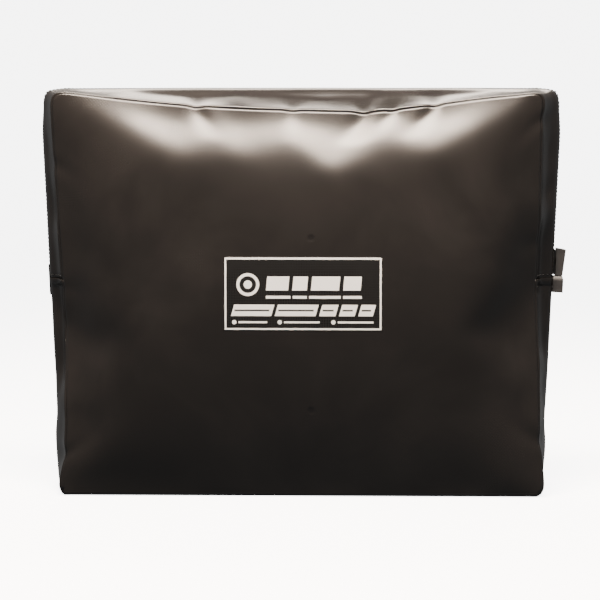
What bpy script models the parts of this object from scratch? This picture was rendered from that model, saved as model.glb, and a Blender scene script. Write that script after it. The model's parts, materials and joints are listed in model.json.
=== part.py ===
"""Cash deposit bag: a box-sided bag of coated fabric with a zip round its gusset and a seal housing.

The bag stands on its base gusset. +X runs along its width, -Y is its front and +Z is up.
"""
from math import copysign, cos, pi, radians, sin, tan

import bmesh
import bpy
from mathutils import Matrix, Vector

# Driving dimensions, in metres.
HEIGHT = 0.356            # base to the zip line along the top
SEAM_Y = 0.045            # half of the gusset's width
CROWN = 0.036             # how far a stuffed panel stands proud of its seam
SIDE_X = 0.2225           # half width of the zip line at SIDE_Z
SIDE_Z = 0.200
LEAN = radians(2.5)       # the sides lean outwards going up
TOP_R = 0.020
BASE_R = 0.014
CLOTH = 0.0016
GAP = 0.0003

# The mouth: the front folds forward about MOUTH_AXIS.
MOUTH_AXIS = Vector((0, -0.020, 0.242))
FOLD_LOW = 0.207
FOLD_HIGH = 0.277
SIDE_FOLD_HIGH = 0.272
ZIP_END_Z = 0.1890

# The zip, across the gusset and into it.
STRIP_Y = 0.0075
TAPE_Y = 0.016
TAPE_IN = 0.0020
TAPE = 0.0008
COIL_IN = 0.0003
COIL = 0.0014
COIL_Y = (0.0009, 0.0036)

# The label on the front panel.
PANEL_MIDDLE = HEIGHT / 2 - 0.006
LABEL_WIDTH = 0.137
LABEL_X = 0.0023          # its middle, right of the panel's
LABEL_LOW = 0.1435
LABEL_HIGH = 0.2050

# Seal housing and slider grip, as (out, across, up) from the zip line at SIDE_Z.
HOUSING_Y = 0.009
HOUSING_UP = (-0.0235, -0.0120)
HOUSING_OUT = (0.0006, 0.0098)
GRIP_Y = 0.007
GRIP_UP = (-0.0088, 0.0155)
GRIP_OUT = (0.0026, 0.0110)
SLOT = (0.0034, 0.0058)   # out, the tongue's slot
SLOT_Y = 0.0055
SEAL_HOLE = (0.0046, 0.0026)   # half width, half height
SEAL_UP = -0.0178
PLATE_Y = 0.0065
SCREW_Y = 0.0062
SCREW_R = 0.0013

SIDE_TOP = HEIGHT - TOP_R - TOP_R * sin(LEAN)
SIDE_LOW = BASE_R - BASE_R * sin(LEAN)


def line_x(z):
    """Half width of the zip line at height z on the straight side."""
    return SIDE_X + tan(LEAN) * (z - SIDE_Z)


TOP_RUN = line_x(SIDE_TOP) - TOP_R * cos(LEAN)
TOP_ARC = TOP_R * (pi / 2 + LEAN)
SIDE_RUN = (SIDE_TOP - SIDE_LOW) / cos(LEAN)
BASE_ARC = BASE_R * (pi / 2 - LEAN)
BASE_RUN = line_x(SIDE_LOW) - BASE_R * cos(LEAN)
JOINTS = [0, TOP_RUN, TOP_RUN + TOP_ARC, TOP_RUN + TOP_ARC + SIDE_RUN]
JOINTS += [JOINTS[-1] + BASE_ARC, JOINTS[-1] + BASE_ARC + BASE_RUN]
HALF_RING = JOINTS[-1]


def run_at(z):
    """Distance round the ring, from the middle of the top, to height z on the right side."""
    return JOINTS[2] + (SIDE_TOP - z) / cos(LEAN)


def line(s):
    """Point and outward normal of the right half of the zip line, s metres from the top's middle."""
    if s < JOINTS[1]:
        return Vector((s, 0, HEIGHT)), Vector((0, 0, 1))
    if s < JOINTS[2]:
        turn = pi / 2 - (s - JOINTS[1]) / TOP_R
        centre = Vector((TOP_RUN, 0, HEIGHT - TOP_R))
        normal = Vector((cos(turn), 0, sin(turn)))
        return centre + TOP_R * normal, normal
    if s < JOINTS[3]:
        z = SIDE_TOP - (s - JOINTS[2]) * cos(LEAN)
        return Vector((line_x(z), 0, z)), Vector((cos(LEAN), 0, -sin(LEAN)))
    if s < JOINTS[4]:
        turn = -LEAN - (s - JOINTS[3]) / BASE_R
        centre = Vector((BASE_RUN, 0, BASE_R))
        normal = Vector((cos(turn), 0, sin(turn)))
        return centre + BASE_R * normal, normal
    return Vector((HALF_RING - s, 0, 0)), Vector((0, 0, -1))


def seam_drop(s):
    """How far the seams lie inside the zip line: most at the middle of the top and of each side."""
    if s < JOINTS[1]:
        return 0.004 + 0.015 * cos(pi / 2 * s / TOP_RUN) ** 1.5
    if s < JOINTS[2]:
        return 0.004 + 0.006 * (s - JOINTS[1]) / TOP_ARC
    if s < JOINTS[3]:
        down = (s - JOINTS[2]) / SIDE_RUN
        return 0.010 * (1 - down) + 0.006 * down + 0.006 * sin(pi * down)
    if s < JOINTS[4]:
        return 0.006 * (JOINTS[4] - s) / BASE_ARC
    return 0


def ring_point(s, y, inset=0.0):
    """Point of the gusset at s round the ring (left half negative) and y across, set in from its face."""
    if abs(s) > HALF_RING:
        s = s - copysign(2 * HALF_RING, s)
    point, normal = line(abs(s))
    point -= normal * (seam_drop(abs(s)) * (abs(y) / SEAM_Y) ** 4 + inset)
    return Vector((copysign(point.x, s), y, point.z))


def stations(start, end, long_step=0.030, arc_step=0.0055):
    """Distances round the ring from start to end, closer together round its corners."""
    ring = sorted({turn * side for side in (-1, 1) for turn in JOINTS})
    ring += [2 * HALF_RING - joint for joint in reversed(ring[:-1])]
    stops = [start] + [joint for joint in ring if start < joint < end] + [end]
    found = [start]
    for low, high in zip(stops, stops[1:]):
        middle = abs((low + high) / 2)
        middle = min(middle, 2 * HALF_RING - middle)
        in_arc = JOINTS[1] < middle < JOINTS[2] or JOINTS[3] < middle < JOINTS[4]
        count = max(1, round((high - low) / (arc_step if in_arc else long_step) + 0.4))
        found += [low + (high - low) * k / count for k in range(1, count + 1)]
    return found


def start_empty_scene():
    for old in list(bpy.data.objects):
        bpy.data.objects.remove(old)


def collection(name):
    group = bpy.data.collections.new(name)
    bpy.context.scene.collection.children.link(group)
    return group


start_empty_scene()
BAG = collection("cash_deposit_bag")
CUTTERS = collection("cutters")


def finish(name, colour, roughness, metallic=0.0):
    """A plain material with the piece's colour, roughness and metallic value."""
    material = bpy.data.materials.new(name)
    material.use_nodes = True
    shader = material.node_tree.nodes["Principled BSDF"]
    shader.inputs["Base Color"].default_value = (*colour, 1)
    shader.inputs["Roughness"].default_value = roughness
    shader.inputs["Metallic"].default_value = metallic
    return material


def add(name, mesh, material, parent=None, group=None):
    """Puts a mesh in the scene as the named sub-part, in its parent empty's own axes."""
    piece = bpy.data.objects.new(name, mesh)
    (group or BAG).objects.link(piece)
    mesh.materials.append(material)
    piece.parent = parent
    return piece


def empty(name, place, tilt=0.0):
    axis = bpy.data.objects.new(name, None)
    BAG.objects.link(axis)
    axis.location = place
    axis.rotation_euler = (0, tilt, 0)
    return axis


def sheet(name, columns, rows, place, material, parent=None, thickness=CLOTH, bands=()):
    """A curved sheet: a flat grid whose points are placed by a rule, cut to bands, then given its wall."""
    shape = bmesh.new()
    bmesh.ops.create_grid(shape, x_segments=columns, y_segments=rows, size=1)
    for point in shape.verts:
        point.co = place(point.co.x, point.co.y)
    for height, keep_above in bands:
        everything = shape.verts[:] + shape.edges[:] + shape.faces[:]
        bmesh.ops.bisect_plane(shape, geom=everything, plane_co=(0, 0, height), plane_no=(0, 0, 1),
                               clear_inner=keep_above, clear_outer=not keep_above)
    shape.normal_update()
    middle = Vector((0, 0, HEIGHT / 2))
    outward = sum(face.normal.dot(face.calc_center_median() - middle) for face in shape.faces)
    if outward < 0:
        bmesh.ops.reverse_faces(shape, faces=shape.faces[:])
    mesh = bpy.data.meshes.new(name)
    shape.to_mesh(mesh)
    shape.free()
    if parent:
        mesh.transform(Matrix.Translation(-parent.location))
    mesh.shade_smooth()
    piece = add(name, mesh, material, parent)
    wall = piece.modifiers.new("wall", "SOLIDIFY")
    wall.thickness = thickness
    wall.offset = -1
    return piece


def strip(name, start, end, y_low, y_high, inset, thickness, material, parent=None, across=1):
    """A band of the gusset from start to end round the ring and from y_low to y_high across it."""
    stops = stations(start, end)

    def place(u, v):
        stop = stops[round((u + 1) / 2 * (len(stops) - 1))]
        return ring_point(stop, y_low + (v + 1) / 2 * (y_high - y_low), inset)

    return sheet(name, len(stops) - 1, across, place, material, parent, thickness)


def panel_point(u, v, side, inset=0.0):
    """Point of the front (side -1) or back (side 1) panel; u and v run from -1 to 1."""
    reach = max(abs(u), abs(v), 1e-6)
    along, up = u / reach, v / reach
    top_corner = (JOINTS[1] + JOINTS[2]) / 2
    low_corner = (JOINTS[3] + JOINTS[4]) / 2
    if up > 0.9999:
        s = along * top_corner
    elif up < -0.9999:
        s = copysign(HALF_RING - abs(along) * (HALF_RING - low_corner), along)
    else:
        s = copysign(top_corner + (1 - up) / 2 * (low_corner - top_corner), along)
    centre = Vector((0, 0, PANEL_MIDDLE))
    edge = ring_point(s, SEAM_Y)
    edge.y = 0
    point = centre + reach * (edge - centre)
    swell = CROWN * (1 - abs(u) ** 2.5) * (1 - abs(v) ** 2.5)
    point.y = side * (SEAM_Y + swell - inset)
    return point


def tube(name, start, end, inset, y, radius, material, parent=None, closed=False):
    """A round binding that follows the ring inside a seam."""
    path = bpy.data.curves.new(name, "CURVE")
    path.dimensions = "3D"
    path.bevel_depth = radius
    path.bevel_resolution = 1
    path.use_fill_caps = True
    stops = stations(start, end, 0.036, 0.008)
    if closed:
        stops.pop()
    spline = path.splines.new("POLY")
    spline.points.add(len(stops) - 1)
    spline.use_cyclic_u = closed
    shift = parent.location if parent else Vector()
    for knot, s in zip(spline.points, stops):
        seam = ring_point(s, SEAM_Y, inset) - shift
        knot.co = (seam.x, y - shift.y, seam.z, 1)
    return add(name, path, material, parent)


def block(name, out, across, up, material, parent, bevel=0.0, group=None):
    """A box given by its limits out of the gusset, across it and up the zip, with rounded edges."""
    shape = bmesh.new()
    bmesh.ops.create_cube(shape, size=1)
    limits = (out, across, up)
    bmesh.ops.scale(shape, verts=shape.verts, vec=[high - low for low, high in limits])
    mesh = bpy.data.meshes.new(name)
    shape.to_mesh(mesh)
    shape.free()
    piece = add(name, mesh, material, parent, group)
    piece.location = [(low + high) / 2 for low, high in limits]
    if bevel:
        edges = piece.modifiers.new("rounded", "BEVEL")
        edges.width = bevel
        edges.segments = 2
    return piece


def round_bar(name, radius, start, end, material, parent, group=None, sides=16):
    """A cylinder from start to end, in its parent's axes."""
    shape = bmesh.new()
    run = Vector(end) - Vector(start)
    bmesh.ops.create_cone(shape, cap_ends=True, segments=sides, radius1=radius, radius2=radius,
                          depth=run.length)
    mesh = bpy.data.meshes.new(name)
    shape.to_mesh(mesh)
    shape.free()
    piece = add(name, mesh, material, parent, group)
    piece.location = (Vector(start) + Vector(end)) / 2
    piece.rotation_mode = "QUATERNION"
    piece.rotation_quaternion = Vector((0, 0, 1)).rotation_difference(run)
    return piece


def cut(piece, cutter, operation="DIFFERENCE"):
    """Cuts a hole with a hidden cutter, or joins it on."""
    cutter.hide_render = True
    cutter.display_type = "WIRE"
    boolean = piece.modifiers.new(cutter.name, "BOOLEAN")
    boolean.object = cutter
    boolean.operation = operation


VINYL = finish("coated_fabric", (0.018, 0.016, 0.015), 0.42)
TAPE_CLOTH = finish("zip_tape", (0.012, 0.012, 0.012), 0.85)
NYLON = finish("zip_coil", (0.020, 0.020, 0.022), 0.35)
BINDING = finish("seam_binding", (0.014, 0.014, 0.014), 0.80)
PRINT = finish("printed_vinyl", (0.010, 0.009, 0.009), 0.35)
PLASTIC = finish("dark_plastic", (0.050, 0.052, 0.055), 0.55)
METAL = finish("blackened_metal", (0.10, 0.10, 0.11), 0.35, 1.0)
STEEL = finish("zinc_steel", (0.60, 0.60, 0.60), 0.30, 1.0)
HIDDEN = finish("cutter", (0.8, 0.2, 0.2), 0.5)


def make_body():
    """The standing bag: back, base, lower front and everything sewn to them."""
    edge = SEAM_Y - CLOTH - 0.0004
    end = run_at(ZIP_END_Z)
    sheet("back_panel", 18, 14, lambda u, v: panel_point(u, v, 1), VINYL)
    sheet("front_panel_lower", 18, 14, lambda u, v: panel_point(u, v, -1), VINYL,
          bands=[(FOLD_LOW, False)])
    sheet("front_panel_fold", 18, 14, lambda u, v: panel_point(u, v, -1), VINYL,
          bands=[(FOLD_HIGH - GAP, False), (FOLD_LOW + GAP, True)])
    base = strip("base_gusset", end, 2 * HALF_RING - end, -edge, edge, 0, CLOTH, VINYL, across=8)
    strip("zip_gusset_back", -end + GAP, end - GAP, STRIP_Y, edge, 0, CLOTH, VINYL, across=5)
    strip("zip_tape_back", -end + GAP, end - GAP, COIL_Y[0], TAPE_Y, TAPE_IN, TAPE, TAPE_CLOTH, across=2)
    strip("zip_coil_back", -end + GAP, end - GAP, *COIL_Y, COIL_IN, COIL, NYLON)
    low = run_at(MOUTH_AXIS.z - 0.0010)
    high = run_at(SIDE_FOLD_HIGH - GAP)
    for side, word in ((1, "right"), (-1, "left")):
        span = sorted((side * (end - GAP), side * low))
        strip("zip_gusset_front_" + word, *span, -edge, -STRIP_Y, 0, CLOTH, VINYL, across=5)
        strip("zip_tape_front_" + word, *span, -TAPE_Y, -COIL_Y[0], TAPE_IN, TAPE, TAPE_CLOTH, across=2)
        strip("zip_coil_front_" + word, *span, -COIL_Y[1], -COIL_Y[0], COIL_IN, COIL, NYLON)
        span = sorted((side * (low - GAP), side * high))
        strip("gusset_fold_" + word, *span, -edge, -STRIP_Y, 0, CLOTH, VINYL, across=5)
    tube("back_seam_binding", -HALF_RING, HALF_RING, 0.0050, SEAM_Y - 0.0040, 0.0014, BINDING, closed=True)
    tube("front_seam_binding_lower", low, 2 * HALF_RING - low, 0.0050, -SEAM_Y + 0.0040, 0.0014, BINDING)
    return base


def make_label():
    """The printed vinyl label, heat-pressed on the front just above the middle."""
    across = LABEL_WIDTH / 2 / 0.2085
    up = (LABEL_HIGH - LABEL_LOW) / 2 / 0.168
    right = LABEL_X / 0.2085
    middle = ((LABEL_LOW + LABEL_HIGH) / 2 - PANEL_MIDDLE) / 0.168
    sheet("label_patch", 10, 5, lambda u, v: panel_point(right + u * across, middle + v * up, -1, -0.0012),
          PRINT, thickness=0.0006)


def make_mouth():
    """The upper front, which folds forward when the zip is open."""
    axis = empty("mouth_axis", MOUTH_AXIS)
    edge = SEAM_Y - CLOTH - 0.0004
    top = run_at(SIDE_FOLD_HIGH)
    start = run_at(MOUTH_AXIS.z + 0.0004)
    sheet("front_panel_upper", 18, 14, lambda u, v: panel_point(u, v, -1), VINYL, axis,
          bands=[(FOLD_HIGH, True)])
    strip("zip_gusset_front_upper", -top, top, -edge, -STRIP_Y, 0, CLOTH, VINYL, axis, across=5)
    strip("zip_tape_front_upper", -start, start, -TAPE_Y, -COIL_Y[0], TAPE_IN, TAPE, TAPE_CLOTH, axis,
          across=2)
    strip("zip_coil_front_upper", -start, start, -COIL_Y[1], -COIL_Y[0], COIL_IN, COIL, NYLON, axis)
    tube("front_seam_binding_upper", -top, top, 0.0050, -SEAM_Y + 0.0040, 0.0014, BINDING, axis)


def make_housing(base):
    """The moulded seal housing, screwed through the base gusset to a plate inside."""
    place = empty("zip_run", (SIDE_X, 0, SIDE_Z), LEAN)
    low, high = HOUSING_UP
    housing = block("seal_housing", HOUSING_OUT, (-HOUSING_Y, HOUSING_Y), HOUSING_UP, PLASTIC, place, 0.0008)
    slot = block("tongue_slot", SLOT, (-SLOT_Y, SLOT_Y), (low + 0.0030, high + 0.002), HIDDEN, place,
                 group=CUTTERS)
    window = block("seal_window", (SLOT[0] + 0.0010, HOUSING_OUT[1] + 0.002), (-SEAL_HOLE[0], SEAL_HOLE[0]),
                   (SEAL_UP - SEAL_HOLE[1], SEAL_UP + SEAL_HOLE[1]), HIDDEN, place, group=CUTTERS)
    cut(housing, slot)
    cut(housing, window)
    plate_out = (-CLOTH - 0.0020 - 0.0004, -CLOTH - 0.0004)
    plate = block("seal_backplate", plate_out, (-0.011, 0.011), (low - 0.002, high - 0.0012), STEEL,
                  place, 0.0004)
    middle = (low + high) / 2 - 0.0008
    for side, word in ((-1, "front"), (1, "back")):
        y = side * (SCREW_Y + 0.0014)
        screw = round_bar("housing_screw_" + word, SCREW_R - 0.0004, (plate_out[0] - 0.0005, y, middle),
                          (0.0046, y, middle), STEEL, place)
        head = round_bar("head_" + word, 0.0024, (plate_out[0] - 0.0019, y, middle),
                         (plate_out[0] - GAP, y, middle), HIDDEN, place, CUTTERS)
        cut(screw, head, "UNION")
        hole = round_bar("hole_" + word, SCREW_R, (-0.006, y, middle), (0.0052, y, middle), HIDDEN,
                         place, CUTTERS)
        for piece in (housing, plate, base):
            cut(piece, hole)
    patch_low, patch_high = run_at(ZIP_END_Z - 0.016), run_at(ZIP_END_Z + 0.012)
    strip("zip_end_patch_left", -patch_low, -patch_high, -0.011, 0.011, -0.0013, 0.0010, VINYL, across=2)


def make_slider():
    """The zip slider with its moulded grip, whose tongue drops into the seal housing."""
    place = empty("zip_slider_axis", (SIDE_X, 0, SIDE_Z), LEAN)
    low, high = GRIP_UP
    outer = (-COIL_IN + 0.0007, -COIL_IN + 0.0021)
    inner = (-TAPE_IN - TAPE - 0.0020, -TAPE_IN - TAPE - 0.0006)
    span = (low + 0.001, high - 0.0015)
    slider = block("slider_body", outer, (-PLATE_Y, PLATE_Y), span, METAL, place)
    lower = block("slider_inner_plate", inner, (-PLATE_Y, PLATE_Y), span, HIDDEN, place, group=CUTTERS)
    neck = block("slider_neck", (inner[0] + 0.0007, outer[0] + 0.0007), (-0.0006, 0.0006),
                 (span[0] + 0.0010, span[0] + 0.0070), HIDDEN, place, group=CUTTERS)
    lug = block("slider_lug", (outer[0] + 0.0007, outer[1] + 0.0036), (-0.0020, 0.0020), (0.0010, 0.0070),
                HIDDEN, place, group=CUTTERS)
    for part in (neck, lower, lug):
        cut(slider, part, "UNION")
    pin_out = outer[1] + 0.0020
    pin_ends = ((pin_out, -GRIP_Y + 0.0006, 0.004), (pin_out, GRIP_Y - 0.0006, 0.004))
    bore_ends = ((pin_out, -GRIP_Y - 0.002, 0.004), (pin_out, GRIP_Y + 0.002, 0.004))
    bore = round_bar("pin_bore", 0.0010, *bore_ends, HIDDEN, place, CUTTERS)
    grip = block("slider_grip", GRIP_OUT, (-GRIP_Y, GRIP_Y), GRIP_UP, PLASTIC, place, 0.0010)
    pocket = block("lug_pocket", (GRIP_OUT[0] - 0.002, outer[1] + 0.0042), (-0.0026, 0.0026),
                   (0.0004, 0.0076), HIDDEN, place, group=CUTTERS)
    socket = block("tongue_socket", (SLOT[0] + 0.0001, SLOT[1] - 0.0001), (-SLOT_Y + 0.0004, SLOT_Y - 0.0004),
                   (low - 0.002, low + 0.0050), HIDDEN, place, group=CUTTERS)
    for cutter in (pocket, socket, bore):
        cut(grip, cutter)
    cut(slider, bore)
    block("slider_tongue", (SLOT[0] + 0.0004, SLOT[1] - 0.0004), (-SLOT_Y + 0.0007, SLOT_Y - 0.0007),
          (HOUSING_UP[0] + 0.0035, low + 0.0046), STEEL, place)
    round_bar("slider_pin", 0.0007, *pin_ends, STEEL, place, sides=12)


make_housing(make_body())
make_label()
make_mouth()
make_slider()
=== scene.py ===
"""Cash deposit bag: the visual model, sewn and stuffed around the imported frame."""

import json
from math import atan, cos, pi, radians, sin

import bmesh
import bpy
import numpy as np
from mathutils import Matrix, Vector


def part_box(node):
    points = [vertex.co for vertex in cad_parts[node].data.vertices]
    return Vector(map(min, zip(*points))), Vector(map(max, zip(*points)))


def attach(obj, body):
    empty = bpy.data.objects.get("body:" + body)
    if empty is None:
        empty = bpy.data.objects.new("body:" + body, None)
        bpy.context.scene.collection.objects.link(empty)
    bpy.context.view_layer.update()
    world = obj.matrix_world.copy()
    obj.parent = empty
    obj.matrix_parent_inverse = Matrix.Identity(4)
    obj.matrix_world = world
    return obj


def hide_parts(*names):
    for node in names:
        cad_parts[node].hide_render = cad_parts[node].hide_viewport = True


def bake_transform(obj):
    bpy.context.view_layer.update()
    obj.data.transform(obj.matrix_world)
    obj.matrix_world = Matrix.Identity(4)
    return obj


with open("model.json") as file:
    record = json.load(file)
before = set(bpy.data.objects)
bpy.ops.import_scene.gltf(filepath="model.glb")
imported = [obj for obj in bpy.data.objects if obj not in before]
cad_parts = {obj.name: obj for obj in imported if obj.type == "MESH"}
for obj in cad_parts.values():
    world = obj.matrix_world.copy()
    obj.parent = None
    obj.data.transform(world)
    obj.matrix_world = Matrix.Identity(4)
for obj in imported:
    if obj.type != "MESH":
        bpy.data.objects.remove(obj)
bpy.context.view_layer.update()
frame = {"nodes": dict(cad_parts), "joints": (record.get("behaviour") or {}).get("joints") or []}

# The flat cut, in metres.
CUT_WIDTH = 0.430
CUT_HEIGHT = 0.357
CUT_DEPTH = 0.094
CUT_CORNER = 0.006
CLOTH = 0.0006
SEAM_RADIUS = 0.0026      # how far from a seam the cloth starts to turn in
ALLOWANCE = 0.0070

# Cloth grid: cells along the width, the height and the gusset. A station is a grid line's number round the outline.
NX, NZ, NY = 62, 52, 14
RING = 2 * (NX + NZ)
FINE = 2                  # fine cells to one cell of the stuffing grid
FLAT_STATION = 0.0069     # flat length from one station to the next

# Stuffing.
PRESSURE = 2.4
FRAMES = 40

# The zip, across the gusset and below its face.
STRIP_EDGE = 0.0075
TAPE_EDGE = 0.0150
TAPE_DEPTH = 0.0013
COIL_DEPTH = 0.00068

coil_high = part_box("zip_coil_front_right")[1]
slide_axis = Vector(next(joint for joint in frame["joints"] if joint["name"] == "zip_slide")["axis"])
ZIP_INSET = 0.0003
ZIP_SLOPE = slide_axis.x / slide_axis.z
ZIP_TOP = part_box("zip_coil_front_upper")[1].z + ZIP_INSET
ZIP_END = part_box("base_gusset")[1].z
SLIDER_REACH = 0.312      # height the slider gets to
DRAW_IN = 0.0028          # how far the zip line is drawn in above that
DRAW_IN_RUN = 0.040


def zip_line_x(z):
    """Half width of the zip's own line at a height: straight where the slider runs, drawn in a little above."""
    drawn_in = min(max((z - SLIDER_REACH) / DRAW_IN_RUN, 0), 1)
    return coil_high.x + ZIP_INSET + ZIP_SLOPE * (z - coil_high.z) - DRAW_IN * drawn_in**2 * (3 - 2 * drawn_in)


# ---------------------------------------------------------------- cut shapes

AT_EDGE = 0.99999


def side_point(offset, half, reach):
    """Point on one side of the cut, offset metres from its middle; reach is the far edge's distance."""
    straight = half - CUT_CORNER
    turned = (abs(offset) - straight) / CUT_CORNER
    if turned <= 0:
        return offset, reach
    along = straight + CUT_CORNER * sin(turned)
    return along if offset > 0 else -along, reach - CUT_CORNER * (1 - cos(turned))


def outline(station):
    """Point of the cut's outline, stations running clockwise from the top left corner."""
    station = station % RING
    half_x, half_z = CUT_WIDTH / 2, CUT_HEIGHT / 2
    sides = ((NX, half_x, half_z), (NZ, half_z, half_x), (NX, half_x, half_z), (NZ, half_z, half_x))
    for turn, (count, half, reach) in enumerate(sides):
        if station <= count:
            break
        station -= count
    length = 2 * (half - CUT_CORNER) + CUT_CORNER * pi / 2
    along, out = side_point((station / count - 0.5) * length, half, reach)
    x, z = ((along, out), (out, -along), (-along, -out), (-out, along))[turn]
    return Vector((x, 0, z + half_z))


def panel_station(u, v):
    """Station of the outline for a place u, v on the edge of the square grid."""
    if v > AT_EDGE:
        return (u + 1) / 2 * NX
    if u > AT_EDGE:
        return NX + (1 - v) / 2 * NZ
    if v < -AT_EDGE:
        return NX + NZ + (1 - u) / 2 * NX
    return 2 * NX + NZ + (v + 1) / 2 * NZ


def from_middle(i, j):
    """How far out a panel's grid place lies, 0 to 1, and the station that it points to."""
    u, v = 2 * i / NX - 1, 2 * j / NZ - 1
    reach = max(abs(u), abs(v), 1e-9)
    return reach, panel_station(u / reach, v / reach)


def panel_cut(i, j):
    """Point of the flat panel at grid place i, j, with the outline's round corners."""
    reach, station = from_middle(i, j)
    middle = Vector((0, 0, CUT_HEIGHT / 2))
    return middle + reach * (outline(station) - middle)


def station_place(station, inset=0.0):
    """Grid place i, j of a station on a panel's edge, moved inset cells inwards."""
    station = station % RING
    if station <= NX:
        return station, NZ - inset
    if station <= NX + NZ:
        return NX - inset, NZ - (station - NX)
    if station <= 2 * NX + NZ:
        return NX - (station - NX - NZ), inset
    return inset, station - 2 * NX - NZ


# ---------------------------------------------------------------- stuffing

def box_of_cloth():
    """The closed cloth box, as cut: two panels and the gusset between them, welded at the seams."""
    shape = bmesh.new()
    for side in (-1, 1):
        made = bmesh.ops.create_grid(shape, x_segments=NX, y_segments=NZ, size=1)
        for point in made["verts"]:
            place = panel_cut((point.co.x + 1) / 2 * NX, (point.co.y + 1) / 2 * NZ)
            point.co = (place.x, side * CUT_DEPTH / 2, place.z)
    made = bmesh.ops.create_grid(shape, x_segments=RING, y_segments=NY, size=1)
    for point in made["verts"]:
        place = outline(round((point.co.x + 1) / 2 * RING))
        point.co = (place.x, point.co.y * CUT_DEPTH / 2, place.z)
    bmesh.ops.remove_doubles(shape, verts=shape.verts[:], dist=1e-5)
    bmesh.ops.recalc_face_normals(shape, faces=shape.faces[:])
    return shape


def uneven(points):
    """Small smooth unevenness, the same each run, so that the folds aren't symmetrical."""
    random = np.random.default_rng(11)
    waves = random.normal(size=(12, 3)) * 40
    phases = random.random((12, 2))
    shift = np.zeros_like(points)
    for wave, (phase, way) in zip(waves, phases):
        shift[:, int(way * 3)] += np.sin(points @ wave + phase * 2 * pi) * 0.0006
    return shift


def stuff(shape):
    """Blows the cloth box up with its base held flat, and gives back each point's cut and stuffed place."""
    mesh = bpy.data.meshes.new("stuffing")
    shape.to_mesh(mesh)
    shape.free()
    cut = np.array([point.co for point in mesh.vertices])
    held = cut[:, 2] < 1e-5
    start = cut + uneven(cut) * ~held[:, None]
    mesh.vertices.foreach_set("co", start.ravel())
    bag = bpy.data.objects.new("stuffing", mesh)
    bpy.context.scene.collection.objects.link(bag)
    base = bag.vertex_groups.new(name="base")
    base.add(np.flatnonzero(held).tolist(), 1.0, "REPLACE")
    cloth = bag.modifiers.new("cloth", "CLOTH")
    cloth.collision_settings.use_collision = False
    cloth.point_cache.frame_start = 1
    cloth.point_cache.frame_end = FRAMES
    fabric = cloth.settings
    fabric.quality = 7
    fabric.mass = 0.3
    fabric.tension_stiffness = 22
    fabric.compression_stiffness = 22
    fabric.shear_stiffness = 13
    fabric.bending_stiffness = 8
    fabric.tension_damping = 10
    fabric.compression_damping = 10
    fabric.shear_damping = 10
    fabric.bending_damping = 2
    fabric.air_damping = 5
    fabric.use_pressure = True
    fabric.uniform_pressure_force = PRESSURE
    fabric.vertex_group_mass = "base"
    fabric.effector_weights.gravity = 0
    scene = bpy.context.scene
    scene.frame_start, scene.frame_end = 1, FRAMES
    for step in range(1, FRAMES + 1):
        scene.frame_set(step)
    seen = bag.evaluated_get(bpy.context.evaluated_depsgraph_get())
    stuffed = np.array([point.co for point in seen.data.vertices])
    bpy.data.objects.remove(bag)
    scene.frame_set(1)
    return cut, stuffed


def catmull(count, at):
    """Catmull-Rom spline along one axis of count points: the point before each place, and the four weights."""
    base = np.clip(np.floor(at).astype(int), 0, count - 2)
    t = (at - base)[..., None]
    weights = (
        (-t + 2 * t**2 - t**3) / 2,
        (2 - 5 * t**2 + 3 * t**3) / 2,
        (t + 4 * t**2 - 3 * t**3) / 2,
        (-(t**2) + t**3) / 2,
    )
    return base, weights


class Patch:
    """A smooth surface through a grid of stuffed points, read at any grid place."""

    def __init__(self, points, closed=False, relief=None):
        self.closed = closed
        self.relief = relief
        if closed:
            points = np.concatenate([points[-2:], points, points[:3]])
        else:
            points = np.concatenate([2 * points[:1] - points[1:2], points, 2 * points[-1:] - points[-2:-1]])
        left, right = 2 * points[:, :1] - points[:, 1:2], 2 * points[:, -1:] - points[:, -2:-1]
        self.points = np.concatenate([left, points, right], axis=1)
        self.shift = 2 if closed else 1

    def at(self, i, j):
        """The points at grid places i, j."""
        i, j = np.broadcast_arrays(np.atleast_1d(np.asarray(i, float)), np.atleast_1d(np.asarray(j, float)))
        if self.closed:
            i = np.mod(i, RING)
        raised = 0 if self.relief is None else self.relief(i, j)
        i, j = i + self.shift, j + 1
        rows, columns = self.points.shape[:2]
        first, across = catmull(rows, i)
        second, along = catmull(columns, j)
        found = 0
        for a in range(4):
            for b in range(4):
                row = np.clip(first + a - 1, 0, rows - 1)
                column = np.clip(second + b - 1, 0, columns - 1)
                found = found + across[a] * along[b] * self.points[row, column]
        return found + raised


# Puckers of the seams: station, depth, width and reach. The seam is drawn in there, and a fold runs from it.
FRONT_PUCKERS = ((17.6, 0.0019, 0.0055, 0.020), (30.2, 0.0012, 0.0050, 0.016), (39.1, 0.0022, 0.0060, 0.024),
                 (42.5, 0.0014, 0.0045, 0.016), (47.8, 0.0017, 0.0055, 0.020), (64.8, 0.0018, 0.0055, 0.018),
                 (81.0, 0.0010, 0.0060, 0.020), (107.0, 0.0019, 0.0060, 0.022), (181.0, 0.0022, 0.0060, 0.024),
                 (203.0, 0.0010, 0.0055, 0.018), (219.0, 0.0012, 0.0055, 0.018))
BACK_PUCKERS = ((12.0, 0.0016, 0.0055, 0.020), (25.0, 0.0020, 0.0060, 0.022), (36.0, 0.0013, 0.0050, 0.018),
                (51.0, 0.0018, 0.0060, 0.022), (72.0, 0.0013, 0.0055, 0.020), (100.0, 0.0018, 0.0060, 0.022),
                (186.0, 0.0016, 0.0060, 0.020), (210.0, 0.0015, 0.0055, 0.018))
STATION_RUN = 0.00686     # from one station to the next, along the seam
ZIP_BAND_EDGE = 0.034     # from the seam to the flat band the zip is sewn on, which puckers stay clear of


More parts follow.
